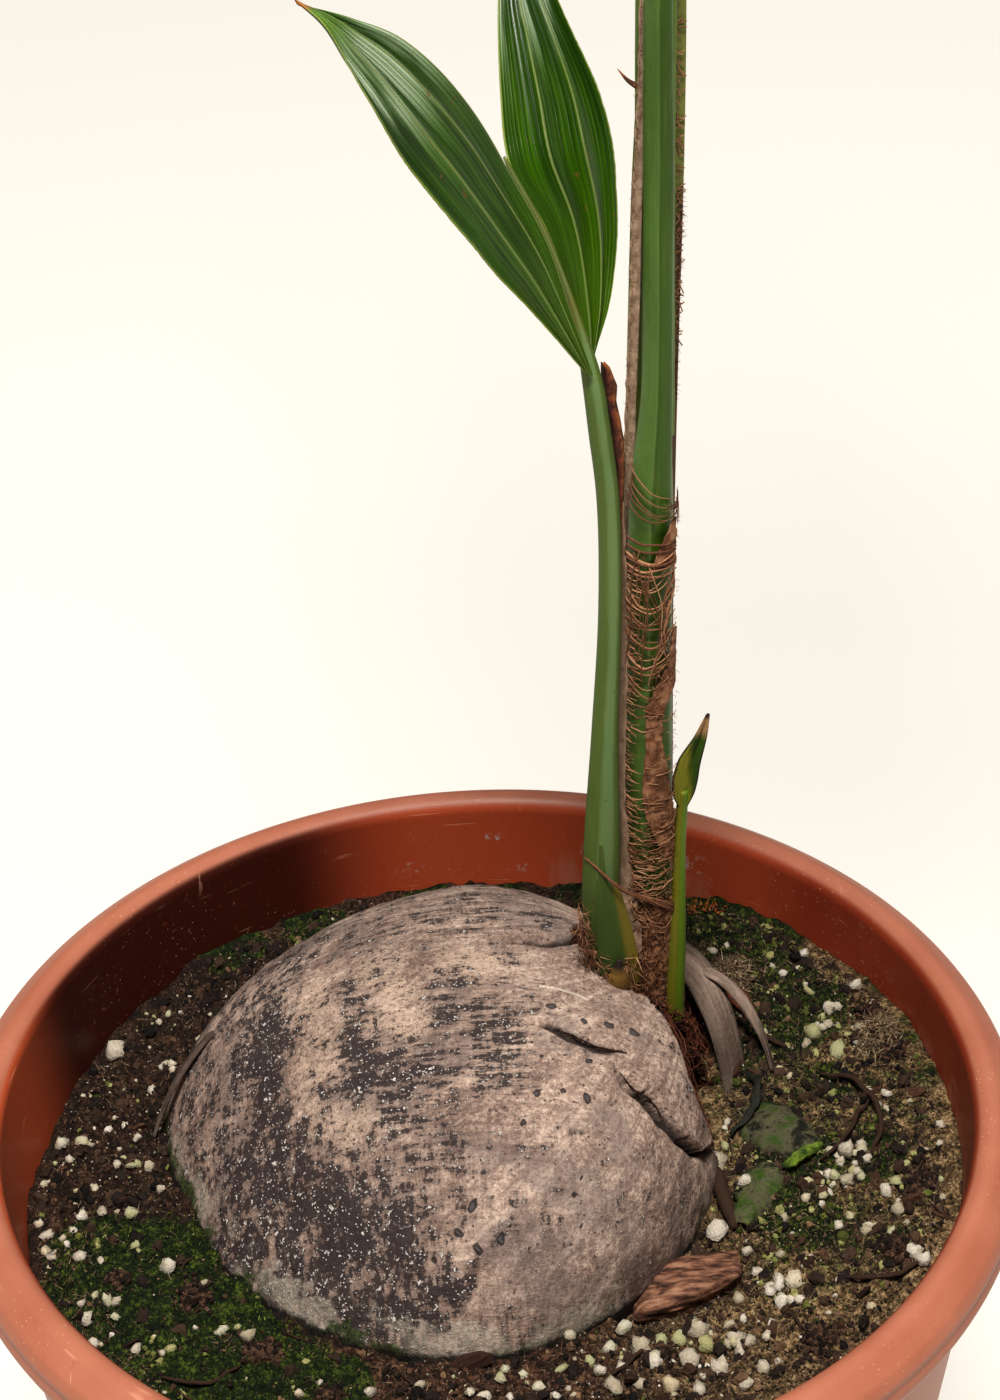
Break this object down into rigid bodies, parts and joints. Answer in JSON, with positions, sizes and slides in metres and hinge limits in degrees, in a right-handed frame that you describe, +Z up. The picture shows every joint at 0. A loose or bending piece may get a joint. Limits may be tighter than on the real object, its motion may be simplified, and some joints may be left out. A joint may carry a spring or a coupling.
{
  "type": "potted coconut palm",
  "caption": "Young coconut palm sprouting from a half-buried nut in a round terracotta-coloured pot, with long leaf stalks and split leaves.",
  "frame": {"origin": "centre of the pot's flat underside", "axes": "+Z up along the pot's axis; +X to the right of the picture, on the side of the shoot; the picture looks along +Y and down"},
  "size_m": [0.5623, 0.7036, 1.368],
  "materials": {
    "pot": "satin",
    "soil": "crumbly, matt",
    "husk": "fibrous, matt",
    "bark_chip": "matt",
    "stalk": "waxy satin",
    "leaf": "satin",
    "fibre": "matt",
    "dry_scrap": "matt"
  },
  "bodies": {
    "root": {"pot": "pot", "soil": "soil", "husk": "husk", "bark_chip": "bark_chip", "stem": "stalk", "stalk_1": "stalk", "stalk_2": "stalk", "stalk_3": "stalk", "stalk_4": "stalk", "stalk_5": "stalk", "sheath_leaf": "leaf", "spear_leaf": "leaf", "leaf_1_front": "leaf", "leaf_1_back": "leaf", "fibre_net": "fibre", "dry_scrap": "dry_scrap", "rib_2": "stalk", "leaf_2_left": "leaf", "leaf_2_right": "leaf", "rib_3": "stalk", "leaf_3_left": "leaf", "leaf_3_right": "leaf", "rib_4": "stalk", "leaf_4_left": "leaf", "leaf_4_right": "leaf", "rib_5": "stalk", "leaf_5_left": "leaf", "leaf_5_right": "leaf"}
  },
  "joints": []
}
